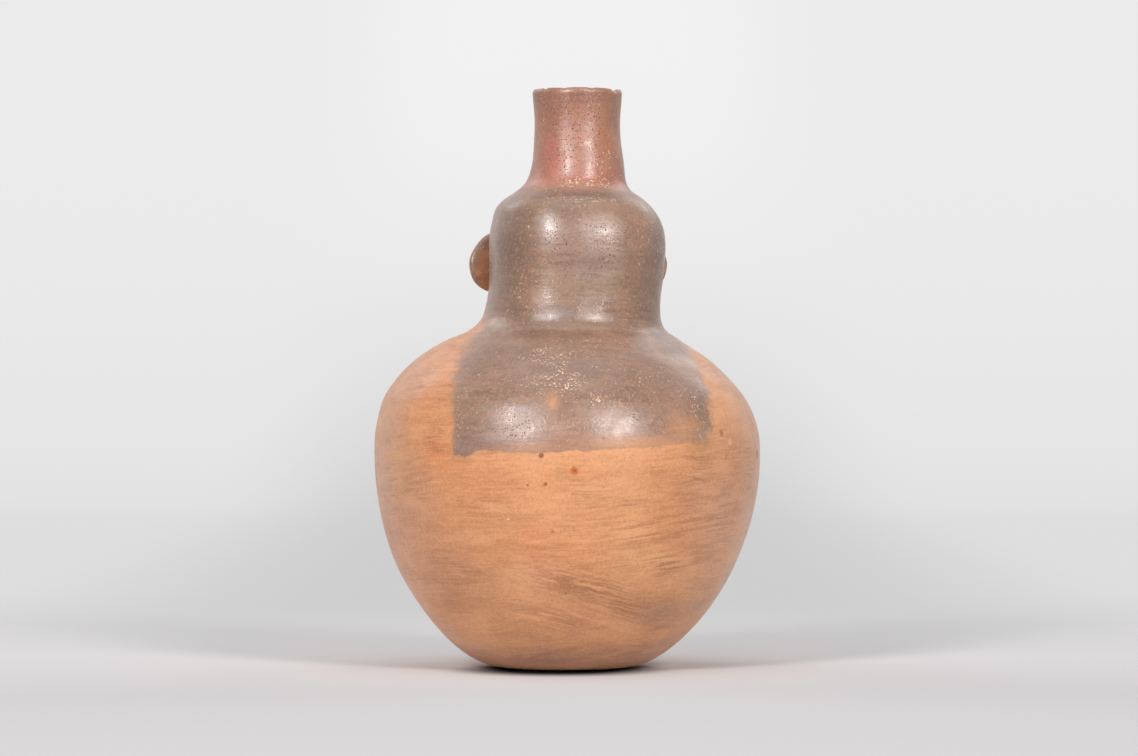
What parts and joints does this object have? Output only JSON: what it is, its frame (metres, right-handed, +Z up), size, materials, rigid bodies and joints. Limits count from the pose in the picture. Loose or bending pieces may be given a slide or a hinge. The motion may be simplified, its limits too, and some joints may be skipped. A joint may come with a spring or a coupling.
{
  "type": "effigy jar",
  "caption": "Round-bellied fired clay jar whose upper chamber is a head with ears, eyes, brows, nose and lips, with a straight spout rising from the crown.",
  "frame": {"origin": "on the ground under the middle of the belly, which is the middle of the bounding box's base", "axes": "+Z up through the spout, the face looks along -Y, and the figure's left ear is on the +X side"},
  "size_m": [0.1872, 0.1872, 0.28],
  "materials": {
    "buff_clay": "burnished orange buff clay, satin, with horizontal polishing strokes",
    "dark_slip": "thin grey brown slip, burnished, streaked where the clay shows through",
    "red_slip": "worn dull red slip, burnished",
    "cream_slip": "cream slip, matt",
    "raw_clay": "unburnished clay, matt and finger-smeared"
  },
  "bodies": {
    "root": {"lower_bowl": "buff_clay", "shoulder_shell": "buff_clay", "head_back": "dark_slip", "head_face": "buff_clay", "neck_spout": "red_slip", "spout_lip": "red_slip", "body_seam_coil": "raw_clay", "throat_seam_coil": "raw_clay", "crown_seam_coil": "raw_clay", "ear_left": "dark_slip", "ear_right": "dark_slip", "eye_left": "cream_slip", "eye_right": "cream_slip", "brow_left": "dark_slip", "brow_right": "dark_slip", "nose": "buff_clay", "upper_lip": "red_slip", "lower_lip": "red_slip"}
  },
  "joints": []
}
